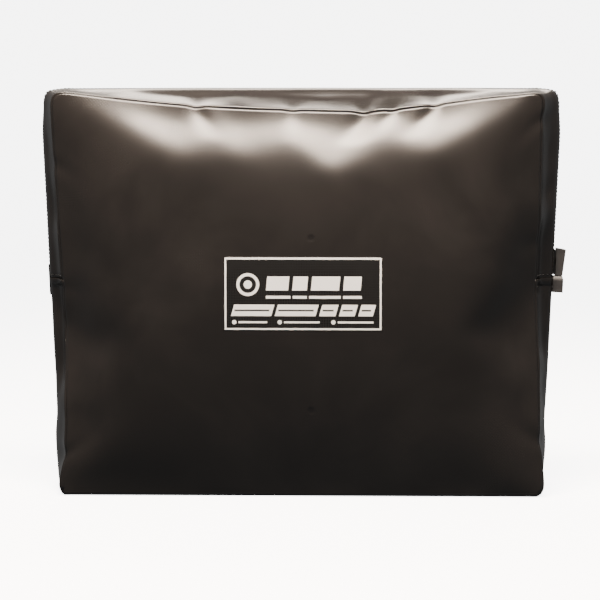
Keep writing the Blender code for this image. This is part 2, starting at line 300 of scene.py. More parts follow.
def puckered(stations, away, side):
    """How far the puckers of one seam move the cloth, at stations and distances away from it."""
    drawn = np.zeros(stations.shape + (3,))
    for place, depth, width, reach in FRONT_PUCKERS if side < 0 else BACK_PUCKERS:
        along = (stations - place) * STATION_RUN / (width + 0.30 * away)
        pull = depth * np.exp(-(along**2) - (away / reach) ** 2) * smooth_step((ZIP_BAND_EDGE - away) / 0.010)
        right = place < NX + NZ
        way = (0, -0.6 * side, -0.8) if place <= NX else (-0.8 if right else 0.8, -0.6 * side, 0)
        drawn += pull[..., None] * np.array(way)
    return drawn


def gusset_relief(stations, j):
    """How far the puckers of both seams move the gusset."""
    away = j / NY * CUT_DEPTH
    return puckered(stations, away, -1) + puckered(stations, CUT_DEPTH - away, 1)


def panel_relief(side):
    """How far the puckers of one seam move its panel, as a function of the grid place."""
    def relief(i, j):
        reach, stations = np.array([from_middle(a, b) for a, b in zip(i, j)]).T
        return puckered(stations, (1 - reach) * CUT_HEIGHT / 2, side)
    return relief


def calm(points, passes, closed=False):
    """Irons out ripples of one or two cells and leaves the seams' own line nearly as it was."""
    for _ in range(passes):
        if closed:
            along = (np.roll(points, 1, 0) + np.roll(points, -1, 0)) / 2
            smoothed = points + 0.4 * (along - points)
            smoothed[:, 1:-1] += 0.25 * ((points[:, :-2] + points[:, 2:]) / 2 - points[:, 1:-1])
            points = smoothed
        else:
            inner = (points[:-2, 1:-1] + points[2:, 1:-1] + points[1:-1, :-2] + points[1:-1, 2:]) / 4
            points = points.copy()
            points[1:-1, 1:-1] += 0.6 * (inner - points[1:-1, 1:-1])
    return points


def smooth_step(x):
    """0 below 0, 1 above 1, and smooth between."""
    x = np.clip(x, 0, 1)
    return x * x * (3 - 2 * x)


BOW = 0.012               # extra sag of the top seams
PINCH = 0.003             # how far the side seams draw in


def settle(points):
    """Lets the top seams sag and the side seams draw in, as the full weight of the cloth does."""
    x, y, z = points[:, 0], points[:, 1], points[:, 2]
    outer = np.clip(np.abs(y) / (CUT_DEPTH / 2), 0, 1) ** 2
    high = smooth_step((z - 0.12) / 0.22)
    middle = np.clip(1 - ((x - 0.02) / 0.205) ** 2, 0, 1)
    low = np.sin(pi * np.clip(z / CUT_HEIGHT, 0, 1))
    moved = points.copy()
    moved[:, 2] -= BOW * outer * high * middle
    moved[:, 0] -= PINCH * outer * low * np.clip(x / 0.2, -1, 1) ** 3
    return moved


ZIP_CORNER = 0.010        # radius of the zip line at the top corners


def on_zip_line(point, station):
    """Where a station's middle belongs on the zip line: leaning sides, a level top and round corners."""
    side = 1 if point[0] > 0 else -1
    x, z = abs(point[0]), point[2]
    corner_z = ZIP_TOP - ZIP_CORNER
    corner_x = zip_line_x(corner_z) - ZIP_CORNER
    station = station % RING
    if station in (0, NX):
        x, z = corner_x + ZIP_CORNER * cos(pi / 4), corner_z + ZIP_CORNER * sin(pi / 4)
    elif station < NX:
        x, z = min(x, corner_x), ZIP_TOP
    else:
        x, z = zip_line_x(min(z, corner_z)), min(z, corner_z)
    return np.array((side * x, 0.0, z))


def line_up_zip(ring):
    """Moves the middle of the gusset onto the zip line, leaves its seams, and keeps the zip's own band flat."""
    across = np.arange(NY + 1) / (NY / 2) - 1
    share = (1 - across**2) ** 1.5
    band = smooth_step((0.026 - np.abs(across) * CUT_DEPTH / 2) / 0.013)
    half = NY // 2
    for k in range(RING):
        if ring[k, half, 2] < 0.03:
            continue
        shift = on_zip_line(ring[k, half], k) - ring[k, half]
        fade = smooth_step((ring[k, half, 2] - 0.03) / 0.05)
        if abs(ring[k, half, 0]) < 0.19:
            shift[2] *= 0.75
        ring[k] += share[:, None] * shift * fade
    middle = ring[:, half].copy()
    tangent = np.roll(middle, -1, 0) - np.roll(middle, 1, 0)
    outward = np.stack([-tangent[:, 2], 0 * tangent[:, 0], tangent[:, 0]], axis=1)
    outward /= np.linalg.norm(outward, axis=1, keepdims=True)
    for k in range(RING):
        fade = smooth_step((middle[k, 2] - 0.05) / 0.08)
        short = (middle[k] - ring[k]) @ outward[k] - 0.0002 * (np.arange(NY + 1) != half)
        ring[k] += (band * short * fade)[:, None] * outward[k]
    return ring


TOP_SEAM = ((-0.2097, 0.3535), (-0.1694, 0.3483), (-0.1353, 0.3448), (-0.1047, 0.3421), (-0.0434, 0.3382),
            (0.0003, 0.3373), (0.0397, 0.3360), (0.0572, 0.3351), (0.0782, 0.3369), (0.0940, 0.3395),
            (0.1228, 0.3430), (0.1447, 0.3465), (0.1832, 0.3505), (0.2103, 0.3535))
LEFT_SEAM = ((0.0100, -0.2085), (0.0600, -0.2040), (0.3200, -0.2148), (0.3500, -0.2165))
RIGHT_SEAM = ((0.0100, 0.2142), (0.0600, 0.2092), (0.1600, 0.2076), (0.3200, 0.2090), (0.3500, 0.2110))


def seam_shifts(seam, share):
    """How far each station of a seam moves, towards the line that the full bag's seams take."""
    shifts = np.zeros((RING, 3))
    for station in range(RING):
        x, _, z = seam[station]
        if station <= NX:
            places, heights = zip(*TOP_SEAM)
            shifts[station, 2] = np.interp(x, places, heights) - z
        if NX <= station <= NX + NZ or station == 0 or station >= 2 * NX + NZ:
            heights, places = zip(*(RIGHT_SEAM if x > 0 else LEFT_SEAM))
            shifts[station, 0] = (np.interp(z, heights, places) - x) * smooth_step(z / 0.03)
    for _ in range(3):
        shifts = (np.roll(shifts, 1, 0) + 2 * shifts + np.roll(shifts, -1, 0)) / 4
    return shifts * share


def draw_seams(panels, ring):
    """Moves the seams onto their line and carries the cloth beside them along."""
    across = np.arange(NY + 1) / NY
    for word, edge, share in (("front", 0, 0.9), ("back", NY, 0.7)):
        shifts = seam_shifts(ring[:, edge], share)
        near = np.abs(across - (1 - edge / NY)) ** 2.0
        ring += near[None, :, None] * shifts[:, None]
        panel = panels[word]
        for i, j in np.ndindex(NX + 1, NZ + 1):
            reach, station = from_middle(i, j)
            first = int(station % RING)
            part = station % RING - first
            shift = (1 - part) * shifts[first] + part * shifts[(first + 1) % RING]
            panel[i, j] += smooth_step((reach - 0.45) / 0.55) * shift


def stuffed_patches():
    """The stuffed front, back and gusset as smooth patches."""
    cut, stuffed = stuff(box_of_cloth())
    places = {tuple(np.round(place * 1e4).astype(int)): k for k, place in enumerate(cut)}

    def found(x, y, z):
        key = np.round(np.array((x, y, z)) * 1e4).astype(int)
        for nudge in np.ndindex(3, 3, 3):
            near = places.get(tuple(key + np.array(nudge) - 1))
            if near is not None:
                return stuffed[near]
        raise ValueError("no stuffed point there")

    sides = {}
    for word, side in (("front", -1), ("back", 1)):
        rows = [[panel_cut(i, j) for j in range(NZ + 1)] for i in range(NX + 1)]
        sides[word] = np.array([[found(p.x, side * CUT_DEPTH / 2, p.z) for p in row] for row in rows])
    ring_cut = [outline(k) for k in range(RING)]
    ring = np.array([[found(p.x, (2 * j / NY - 1) * CUT_DEPTH / 2, p.z) for j in range(NY + 1)]
                     for p in ring_cut])
    for word in sides:
        flat = sides[word].reshape(-1, 3)
        sides[word] = settle(flat).reshape(sides[word].shape)
    ring = settle(ring.reshape(-1, 3)).reshape(ring.shape)
    draw_seams(sides, ring)
    ring = line_up_zip(ring)
    base = ring[:, NY // 2, 2] < 1e-4
    smoothed = calm(ring, 2, True)
    smoothed[base] = ring[base]
    ring = line_up_zip(smoothed)
    for word, edge in (("front", 0), ("back", NY)):
        for station in range(RING):
            i, j = station_place(station)
            sides[word][round(i), round(j)] = ring[station, edge]
        sides[word] = calm(sides[word], 5)
    return (Patch(sides["front"], relief=panel_relief(-1)), Patch(sides["back"], relief=panel_relief(1)),
            Patch(ring, True, gusset_relief))


FRONT, BACK, GUSSET = stuffed_patches()


# ---------------------------------------------------------------- sewing

def unit(vectors):
    """The vectors at length 1."""
    return vectors / np.maximum(np.linalg.norm(vectors, axis=-1, keepdims=True), 1e-12)


def seam_frames(panel, side, stations):
    """For each station of a seam: its point, the ways into panel and gusset, and the way into the bag."""
    stations = np.asarray(stations, float)
    edge = 0 if side < 0 else NY
    point = GUSSET.at(stations, edge)
    tangent = unit(GUSSET.at(stations + 0.3, edge) - GUSSET.at(stations - 0.3, edge))
    inner = np.array([station_place(station, 0.55) for station in stations])
    into_panel = panel.at(inner[:, 0], inner[:, 1]) - point
    into_gusset = GUSSET.at(stations, edge - side * 0.55) - point
    ways = []
    for way in (into_panel, into_gusset):
        way = way - tangent * (way * tangent).sum(1, keepdims=True)
        ways.append(unit(way))
    middle = point * np.array((1, 0, 1)) - np.array((0, 0, CUT_HEIGHT / 2))
    inside = unit(-middle) + np.array((0, -side, 0))
    inside = inside - tangent * (inside * tangent).sum(1, keepdims=True)
    inward = unit(ways[0] + ways[1] + 0.5 * inside)
    return point, ways[0], ways[1], inward


def turned_edge(point, way, inward, levels=5):
    """Rows of points that take a cloth's edge round its fold and into the seam allowance."""
    cosine = (way * inward).sum(1, keepdims=True)
    side = unit(way - inward * cosine)
    half = np.arccos(np.clip(cosine, -1, 1)) / 2
    radius = SEAM_RADIUS * np.tan(half)
    centre = point + inward * SEAM_RADIUS + side * radius
    rows = []
    for level in range(levels + 1):
        turn = (pi - 2 * half) * (1 - level / levels)
        rows.append(centre - side * radius * np.cos(turn) - inward * radius * np.sin(turn))
    for depth in (0.4, 1.0):
        rows.append(point + inward * (SEAM_RADIUS + depth * ALLOWANCE) + side * 0.00005)
    return rows


def flat_shape():
    """An empty bmesh whose points can hold their flat place."""
    shape = bmesh.new()
    return shape, shape.verts.layers.float_vector.new("flat")


def as_piece(name, shape):
    """Makes an object of a finished bmesh, smoothly shaded."""
    for face in shape.faces:
        face.smooth = True
    mesh = bpy.data.meshes.new(name)
    shape.to_mesh(mesh)
    shape.free()
    piece = bpy.data.objects.new(name, mesh)
    bpy.context.scene.collection.objects.link(piece)
    return piece


def cloth_mesh(name, shape):
    """Makes a piece of a finished bmesh: its flat places become the UV map of the weave."""
    flat = shape.verts.layers.float_vector["flat"]
    weave = shape.loops.layers.uv.new("flat")
    for point in shape.verts:
        point.co.z = max(point.co.z, 0)
    for face in shape.faces:
        for corner in face.loops:
            corner[weave].uv = corner.vert[flat].xy * 10
    return as_piece(name, shape)


def face_out(shape, is_out):
    """Turns all faces over if most of them point the wrong way."""
    shape.normal_update()
    if sum(is_out(face) for face in shape.faces) < 0:
        bmesh.ops.reverse_faces(shape, faces=shape.faces[:])


def extend(shape, rows, edge_keys):
    """Extrudes a boundary again and again; each new point takes the place that its edge point's key says."""
    key_layer = shape.verts.layers.int["edge"]
    flat = shape.verts.layers.float_vector["flat"]
    edges = [edge for edge in shape.edges
             if edge.is_boundary and all(point[key_layer] in edge_keys for point in edge.verts)]
    for point in {point for edge in edges for point in edge.verts}:
        point.co = rows[0][edge_keys[point[key_layer]]]
    for row in rows[1:]:
        made = bmesh.ops.extrude_edge_only(shape, edges=edges)["geom"]
        edges = [item for item in made if isinstance(item, bmesh.types.BMEdge)]
        fresh = [item for item in made if isinstance(item, bmesh.types.BMVert)]
        edges = [edge for edge in edges if all(point in set(fresh) for point in edge.verts)]
        for point in fresh:
            point.co = row[edge_keys[point[key_layer]]]
            point[flat] = point[flat] + Vector((0, 0.0009, 0))


def panel_piece(name, panel, side):
    """The front or back panel, its edge turned in at the seam all round."""
    shape, flat = flat_shape()
    key = shape.verts.layers.int.new("edge")
    bmesh.ops.create_grid(shape, x_segments=NX * FINE, y_segments=NZ * FINE, size=1)
    points = shape.verts[:]
    i = np.array([(point.co.x + 1) / 2 * NX for point in points])
    j = np.array([(point.co.y + 1) / 2 * NZ for point in points])
    places = panel.at(i, j)
    stations = np.arange(RING * FINE) / FINE
    for point, place, a, b in zip(points, places, i, j):
        a, b = float(a), float(b)
        cut = panel_cut(a, b)
        point[flat] = (cut.x, cut.z, 0)
        point[key] = -1
        reach, station = from_middle(a, b)
        if reach > AT_EDGE:
            point[key] = round(station * FINE) % (RING * FINE)
        point.co = place
    face_out(shape, lambda face: face.normal.y * side)
    point, into_panel, _, inward = seam_frames(panel, side, stations)
    rows = turned_edge(point, into_panel, inward)
    extend(shape, rows, {k: k for k in range(RING * FINE)})
    return cloth_mesh(name, shape)


# Keys of a band's edge points: the near edge counts from 0, the others from here.
FAR_EDGE, START_EDGE, END_EDGE = 100000, 200000, 300000


def band_grid(start, end, low, high, columns, rows):
    """A grid laid along the gusset, with the ring place and the flat place of each point."""
    shape, flat = flat_shape()
    key = shape.verts.layers.int.new("edge")
    bmesh.ops.create_grid(shape, x_segments=columns, y_segments=rows, size=1)
    points = shape.verts[:]
    along = np.array([round((point.co.x + 1) / 2 * columns) for point in points])
    across = np.array([round((point.co.y + 1) / 2 * rows) for point in points])
    stations = start + (end - start) * along / columns
    places = low + (high - low) * across / rows
    for point, a, b, c, d in zip(points, stations, places, along, across):
        point[flat] = (a * FLAT_STATION, b, 0)
        point[key] = -1
        if d == 0:
            point[key] = c
        if d == rows:
            point[key] = c + FAR_EDGE
        if c == 0 and 0 < d < rows:
            point[key] = d + START_EDGE
        if c == columns and 0 < d < rows:
            point[key] = d + END_EDGE
    return shape, points, stations, places


def across_place(y):
    """Grid place across the gusset of a flat distance from its middle."""
    return (np.asarray(y) / CUT_DEPTH + 0.5) * NY


def on_gusset(stations, y, depth=0.0):
    """Points on the gusset, y across it and depth below its face."""
    stations, y = np.broadcast_arrays(np.asarray(stations, float), np.asarray(y, float))
    place = across_place(y)
    point = GUSSET.at(stations, place)
    step = 0.25
    along = GUSSET.at(stations + step, place) - GUSSET.at(stations - step, place)
    over = GUSSET.at(stations, place + step) - GUSSET.at(stations, place - step)
    normal = unit(np.cross(over, along))
    outward = point - np.array((0, 0, CUT_HEIGHT / 2)) * np.array((1, 0, 1))
    outward[:, 1] = 0
    normal = normal * np.sign((normal * outward).sum(1, keepdims=True) + 1e-12)
    return point - normal * depth, normal, unit(over), unit(along)


def out_of_bag(face):
    """Positive where a face of the gusset looks out of the bag."""
    middle = face.calc_center_median()
    return face.normal.x * middle.x + face.normal.z * (middle.z - CUT_HEIGHT / 2)


HEM = 0.0005              # radius of a hem's fold
HEM_TURN = 0.0060         # cloth turned under
STRIP_SINK = 0.0008       # of the strips' ends, under the base gusset


def hem_rows(point, into, normal):
    """Rows that fold a cloth's edge under itself."""
    rows = []
    for turn in (0, 45, 90, 135, 180):
        swing = radians(turn)
        rows.append(point - into * HEM * sin(swing) - normal * HEM * (1 - cos(swing)))
    rows.append(point + into * HEM_TURN - normal * 2 * HEM)
    return rows


def under_base(stations):
    """How far the strips sink where the base gusset overlaps their ends."""
    past = np.maximum(stations - ZIP_RIGHT, ZIP_LEFT - RING - stations)
    return STRIP_SINK * smooth_step((past + 0.5) / 0.5)


def gusset_strip(name, side, start, end, panel):
    """One of the two strips beside the zip: sewn to its panel, folded under along the zip."""
    rows = 7 * FINE
    columns = round((end - start) * FINE)
    edge = CUT_DEPTH / 2
    shape, points, stations, places = band_grid(start, end, STRIP_EDGE, edge, columns, rows)
    found, out, _, _ = on_gusset(stations, side * places)
    for point, place, sink in zip(points, found, out * under_base(stations)[:, None]):
        point.co = place - sink
    face_out(shape, out_of_bag)
    line = start + (end - start) * np.arange(columns + 1) / columns
    seam, _, into_gusset, inward = seam_frames(panel, side, line)
    sink = on_gusset(line, side * edge * 0.97)[1] * under_base(line)[:, None]
    extend(shape, [row - sink for row in turned_edge(seam, into_gusset, inward)],
           {FAR_EDGE + k: k for k in range(columns + 1)})
    point, normal, over, _ = on_gusset(line, side * STRIP_EDGE)
    sink = normal * under_base(line)[:, None]
    extend(shape, [row - sink for row in hem_rows(point, over * side, normal)], {k: k for k in range(columns + 1)})
    return cloth_mesh(name, shape)


def base_piece(start, end):
    """The base gusset: one band under the bag and up both sides to the ends of the zip."""
    columns = round((end - start) * FINE)
    edge = CUT_DEPTH / 2
    rows = NY * FINE
    shape, points, stations, places = band_grid(start, end, -edge, edge, columns, rows)
    found = on_gusset(stations, places)[0]
    for point, place in zip(points, found):
        point.co = place
    face_out(shape, out_of_bag)
    line = start + (end - start) * np.arange(columns + 1) / columns
    for side, panel, first in ((-1, FRONT, 0), (1, BACK, FAR_EDGE)):
        seam, _, into_gusset, inward = seam_frames(panel, side, line)
        extend(shape, turned_edge(seam, into_gusset, inward), {first + k: k for k in range(columns + 1)})
    inside = edge * (1 - 2 * np.arange(1, rows) / rows)
    for first, station, way in ((START_EDGE, start, 1), (END_EDGE, end, -1)):
        point, normal, _, along = on_gusset(np.full(rows - 1, float(station)), -inside)
        lifted = point + normal * STRIP_SINK
        extend(shape, hem_rows(lifted, along * way, normal), {first + k + 1: k for k in range(rows - 1)})
    return cloth_mesh("base_gusset_cloth", shape)


def station_at_height(z, side):
    """Station where the zip line is z high, on the left (-1) or the right (1)."""
    stations = np.arange(0, RING, 0.25)
    line = GUSSET.at(stations, NY / 2)
    near = np.abs(line[:, 2] - z) + (line[:, 0] * side < 0) + (np.abs(line[:, 0]) < 0.2)
    return stations[near.argmin()]


def wall(piece, thickness):
    """Gives a cloth piece its thickness, inwards, and keeps the result as its mesh; the inner face is material 1."""
    for _ in range(2):
        piece.data.materials.append(None)
    solid = piece.modifiers.new("wall", "SOLIDIFY")
    solid.thickness = thickness
    solid.offset = -1
    solid.material_offset = 1
    seen = piece.evaluated_get(bpy.context.evaluated_depsgraph_get())
    mesh = bpy.data.meshes.new_from_object(seen)
    piece.modifiers.clear()
    piece.data = mesh
    mesh.name = piece.name
    return piece


ZIP_RIGHT = station_at_height(ZIP_END, 1)
ZIP_LEFT = station_at_height(ZIP_END, -1)

front_panel = wall(panel_piece("front_panel", FRONT, -1), CLOTH)
back_panel = wall(panel_piece("back_panel_cloth", BACK, 1), CLOTH)
base_gusset = wall(base_piece(ZIP_RIGHT, ZIP_LEFT), CLOTH)
strip_front, strip_back = (
    wall(gusset_strip(name, side, ZIP_LEFT - RING - 1.0, ZIP_RIGHT + 1.0, panel), CLOTH * 0.75)
    for name, side, panel in (("zip_strip_front", -1, FRONT), ("zip_strip_back", 1, BACK)))


# ---------------------------------------------------------------- zip

ZIP_START, ZIP_STOP = ZIP_LEFT - RING - 0.6, ZIP_RIGHT + 0.6
TAPE = 0.0005
COIL_PITCH = 0.0013
COIL_WIRE = 0.00028
COIL_HALF_HEIGHT = 0.00040
COIL_REACH = (-0.00035, 0.0032)


def even_stations(start, stop, y, step):
    """Stations at equal distances along a line that runs y off the gusset's middle."""
    fine = np.linspace(start, stop, int((stop - start) * 8))
    line = on_gusset(fine, y)[0]
    length = np.concatenate([[0], np.cumsum(np.linalg.norm(np.diff(line, axis=0), axis=1))])
    count = max(2, round(length[-1] / step))
    return np.interp(np.linspace(0, length[-1], count + 1), length, fine)


def laid(places, flats):
    """A grid whose points take the given places and flat places, columns by rows."""
    columns, rows = places.shape[0] - 1, places.shape[1] - 1
    shape, flat = flat_shape()
    bmesh.ops.create_grid(shape, x_segments=columns, y_segments=rows, size=1)
    for point in shape.verts:
        i, j = round((point.co.x + 1) / 2 * columns), round((point.co.y + 1) / 2 * rows)
        point.co = places[i, j]
        point[flat] = (*flats[i, j], 0)
    return shape


def gusset_band(name, stations, across, depths, thickness=TAPE):
    """A band of cloth laid along the gusset; across and depths give its profile."""
    across, depths = np.asarray(across, float), np.asarray(depths, float)
    along, side = np.meshgrid(stations, across, indexing="ij")
    depth = np.broadcast_to(depths, along.shape)
    point, normal, _, _ = on_gusset(along.ravel(), side.ravel())
    places = (point - normal * depth.ravel()[:, None]).reshape(*along.shape, 3)
    shape = laid(places, np.stack([along * FLAT_STATION, side], axis=-1))
    face_out(shape, out_of_bag)
    return wall(cloth_mesh(name, shape), thickness)


def zip_tape(name, side):
    """One half of the zip's tape."""
    stations = np.linspace(ZIP_START, ZIP_STOP, round((ZIP_STOP - ZIP_START) * FINE) + 1)
    across = side * np.linspace(0.0005, TAPE_EDGE, 7)
    return gusset_band(name, stations, across, TAPE_DEPTH)


def zip_coil(name, side):
    """One half of the coil: a flattened helix of monofilament sewn along the tape's edge."""
    turn_points = 8
    stations = even_stations(ZIP_START + 0.4, ZIP_STOP - 0.4, 0.0, COIL_PITCH)
    if side > 0:
        stations = (stations[1:] + stations[:-1]) / 2
    turns = np.arange((len(stations) - 1) * turn_points + 1) / turn_points
    along = np.interp(turns, np.arange(len(stations)), stations)
    near, far = COIL_REACH
    y = side * ((near + far) / 2 - (far - near) / 2 * np.cos(turns * 2 * pi))
    depth = COIL_DEPTH - COIL_HALF_HEIGHT * np.sin(turns * 2 * pi)
    point, normal, _, way = on_gusset(along, y)
    path = point - normal * depth[:, None]
    tangent = unit(np.gradient(path, axis=0))
    first = unit(way - tangent * (way * tangent).sum(1, keepdims=True))
    second = np.cross(tangent, first)
    swings = np.linspace(0, 2 * pi, 5)
    places = np.stack([path + COIL_WIRE * (first * cos(a) + second * sin(a)) for a in swings], axis=1)
    shape = laid(places, np.stack([np.repeat(turns[:, None], 5, 1), np.repeat(swings[None], len(turns), 0)], axis=-1))
    bmesh.ops.remove_doubles(shape, verts=shape.verts[:], dist=1e-6)
    bmesh.ops.holes_fill(shape, edges=shape.edges[:], sides=4)
    bmesh.ops.recalc_face_normals(shape, faces=shape.faces[:])
    return cloth_mesh(name, shape)


def threads(name, lines, length=0.0024, width=0.00034):
    """Stitches of sewing thread; each line gives places, ways along and ways out of the cloth."""
    shape = flat_shape()[0]
    for points, ways, outs in lines:
        for point, way, out in zip(points, ways, outs):
            way, out = Vector(way).normalized(), Vector(out)
            over = out.cross(way).normalized()
            out = way.cross(over)
            turn = Matrix((way, over, out)).transposed().to_4x4()
            size = Matrix.Diagonal((length / 2, width, width * 0.8, 1))
            place = Matrix.Translation(point) @ turn @ size @ Matrix.Rotation(pi / 2, 4, "Y")
            bmesh.ops.create_uvsphere(shape, u_segments=6, v_segments=4, radius=1, matrix=place)
    return cloth_mesh(name, shape)


def gusset_line(start, stop, y, step, lift):
    """A row of stitches along the gusset."""
    stations = even_stations(start, stop, y, step)
    point, normal, _, along = on_gusset(stations, y)
    return point + normal * lift, along, normal


def gusset_cross(station, low, high, step, lift):
    """A row of stitches across the gusset."""
    y = np.linspace(low, high, max(2, round((high - low) / step)))
    point, normal, over, _ = on_gusset(np.full(len(y), float(station)), y)
    return point + normal * lift, over, normal


STITCH = 0.0034
LIFT = 0.00006


def zip_rows(side):
    """The rows of stitches on one strip: two beside the zip and one across each end."""
    rows = [gusset_line(ZIP_START + 0.8, ZIP_STOP - 0.8, side * y, STITCH, LIFT) for y in (0.0095, 0.0130)]
    low, high = sorted((side * 0.0080, side * 0.0405))
    return rows + [gusset_cross(station, low, high, STITCH, LIFT) for station in (ZIP_STOP - 1.1, ZIP_START + 1.1)]


tape_front = zip_tape("zip_tape_front", -1)
tape_back = zip_tape("zip_tape_back_cloth", 1)
coil_front = zip_coil("zip_coil_front", -1)
coil_back = zip_coil("zip_coil_back_wire", 1)
thread_front = threads("zip_thread_front", zip_rows(-1))
thread_back = threads("zip_thread_back", zip_rows(1))

patch_low, patch_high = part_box("zip_end_patch_left")
PATCH_HALF = 0.011        # half its width on the bag
PATCH_SEAM = 0.0085       # from its middle to its stitches
PATCH_LIFT = 0.00145


def end_patch():
    """The patch sewn over the blind end of the zip, its edges folded under."""
    start, stop = sorted((station_at_height(patch_low.z, -1), station_at_height(patch_high.z, -1)))
    half = PATCH_HALF
    across = np.concatenate([[-half, -half * 0.985], np.linspace(-half * 0.93, half * 0.93, 9), [half * 0.985, half]])
    along = np.concatenate([[start, start + 0.05], np.linspace(start + 0.2, stop - 0.2, 13), [stop - 0.05, stop]])
    lift = np.full((len(along), len(across)), 0.0014)
    for edge, height in ((0, 0.0002), (1, 0.0010), (-2, 0.0010), (-1, 0.0002)):
        lift[edge, :] = np.minimum(lift[edge, :], height)
        lift[:, edge] = np.minimum(lift[:, edge], height)
    patch = gusset_band("zip_end_patch", along, across, -lift, 0.0006)
    ends = start + 0.4, stop - 0.4
    rows = [gusset_line(*ends, y, STITCH, PATCH_LIFT) for y in (-PATCH_SEAM, PATCH_SEAM)]
    rows += [gusset_cross(station, -PATCH_SEAM, PATCH_SEAM, STITCH, PATCH_LIFT) for station in ends]
    return patch, threads("end_patch_thread", rows)


patch, patch_thread = end_patch()

BINDING_WIDTH = 0.0120


def binding(name, panel, side):
    """The tape folded over the raw edges of a seam inside the bag."""
    stations = np.arange(RING * FINE + 1) / FINE
    point, into_panel, _, inward = seam_frames(panel, side, stations)
    over = unit(into_panel - inward * (into_panel * inward).sum(1, keepdims=True))
    near, far = SEAM_RADIUS + 0.30 * ALLOWANCE, SEAM_RADIUS + 1.02 * ALLOWANCE
    fold = [(near, 0.0011), ((near + far) / 2, 0.00125), (far, 0.0011), (far + 0.0007, 0.0006)]
    profile = fold + [(far + 0.0009, 0)] + [(depth, -shift) for depth, shift in reversed(fold)]
    places = np.stack([point + inward * depth + over * shift for depth, shift in profile], axis=1)
    run = np.linspace(0, BINDING_WIDTH, len(profile))
    shape = laid(places, np.stack(np.meshgrid(stations * FLAT_STATION, run, indexing="ij"), axis=-1))
    bmesh.ops.remove_doubles(shape, verts=shape.verts[:], dist=1e-6)
    bmesh.ops.recalc_face_normals(shape, faces=shape.faces[:])
    return wall(cloth_mesh(name, shape), 0.0003)


binding_front = binding("front_seam_binding", FRONT, -1)
binding_back = binding("back_binding_cloth", BACK, 1)


# ---------------------------------------------------------------- printed label

label_low, label_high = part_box("label_patch")
LABEL_SHARE = 0.965       # the ink's border lies just inside the patch's own edge
LABEL_WIDTH = LABEL_SHARE * (label_high.x - label_low.x)
LABEL_HEIGHT = LABEL_SHARE * (label_high.z - label_low.z)
LABEL = Vector(((label_low.x + label_high.x - LABEL_WIDTH) / 2 + 0.0014, 0,
                (label_low.z + label_high.z - LABEL_HEIGHT) / 2 + 0.0042))
INK = 0.00004             # thickness of the ink
LABEL_LIFT = 0.00014


def front_place(x, z):
    """Grid places of the front panel's points that stand at x and z."""
    x, z = np.asarray(x, float), np.asarray(z, float)
    i, j = (x / CUT_WIDTH + 0.5) * NX, z / CUT_HEIGHT * NZ
    for _ in range(8):
        found = FRONT.at(i, j)
        i = i + (x - found[:, 0]) * NX / CUT_WIDTH
        j = j + (z - found[:, 2]) * NZ / CUT_HEIGHT
    return i, j


def front_normal(i, j):
    """Unit normals of the front panel."""
    step = 0.3
    along = FRONT.at(i + step, j) - FRONT.at(i - step, j)
    up = FRONT.at(i, j + step) - FRONT.at(i, j - step)
    return unit(np.cross(along, up))


def on_front(shape, lift):
    """Lays a flat shape, drawn from the label's lower left corner, on the front panel."""
    points = shape.verts[:]
    x = np.array([point.co.x for point in points]) + LABEL.x
    z = np.array([point.co.z for point in points]) + LABEL.z
    i, j = front_place(x, z)
    places = FRONT.at(i, j) + front_normal(i, j) * lift
    flat = shape.verts.layers.float_vector["flat"]
    for point, place in zip(points, places):
        point[flat] = (point.co.x, point.co.z, 0)
        point.co = place
    face_out(shape, lambda face: -face.normal.y)


LYING = Matrix.Rotation(pi / 2, 4, "X")


def bar(shape, left, bottom, width, height, slant=0.0, cell=0.004):
    """A plain bar of ink; slant leans its ends."""
    columns, rows = max(1, round(width / cell)), max(1, round(height / cell))
    for point in bmesh.ops.create_grid(shape, x_segments=columns, y_segments=rows, size=0.5)["verts"]:
        u, v = point.co.x + 0.5, point.co.y + 0.5
        point.co = (left + u * width + v * slant, 0, bottom + v * height)


def disc(shape, x, z, radius):
    bmesh.ops.create_circle(shape, cap_ends=True, cap_tris=True, segments=20, radius=radius,
                            matrix=Matrix.Translation((x, 0, z)) @ LYING)


def ring_of_ink(shape, x, z, outer, inner):
    made = bmesh.ops.create_grid(shape, x_segments=40, y_segments=1, size=0.5)["verts"]
    for point in made:
        turn, radius = (point.co.x + 0.5) * 2 * pi, inner + (point.co.y + 0.5) * (outer - inner)
        point.co = (x + radius * cos(turn), 0, z + radius * sin(turn))
    bmesh.ops.remove_doubles(shape, verts=made, dist=1e-6)


def flat_ink(piece):
    """Gives ink its thickness without rounding the look of its edges."""
    piece = wall(piece, INK)
    piece.data.polygons.foreach_set("use_smooth", [False] * len(piece.data.polygons))
    return piece


TAGS = ((0.0060, 0.0345), (0.0435, 0.0350), (0.0815, 0.0140), (0.0985, 0.0135), (0.1150, 0.0125))


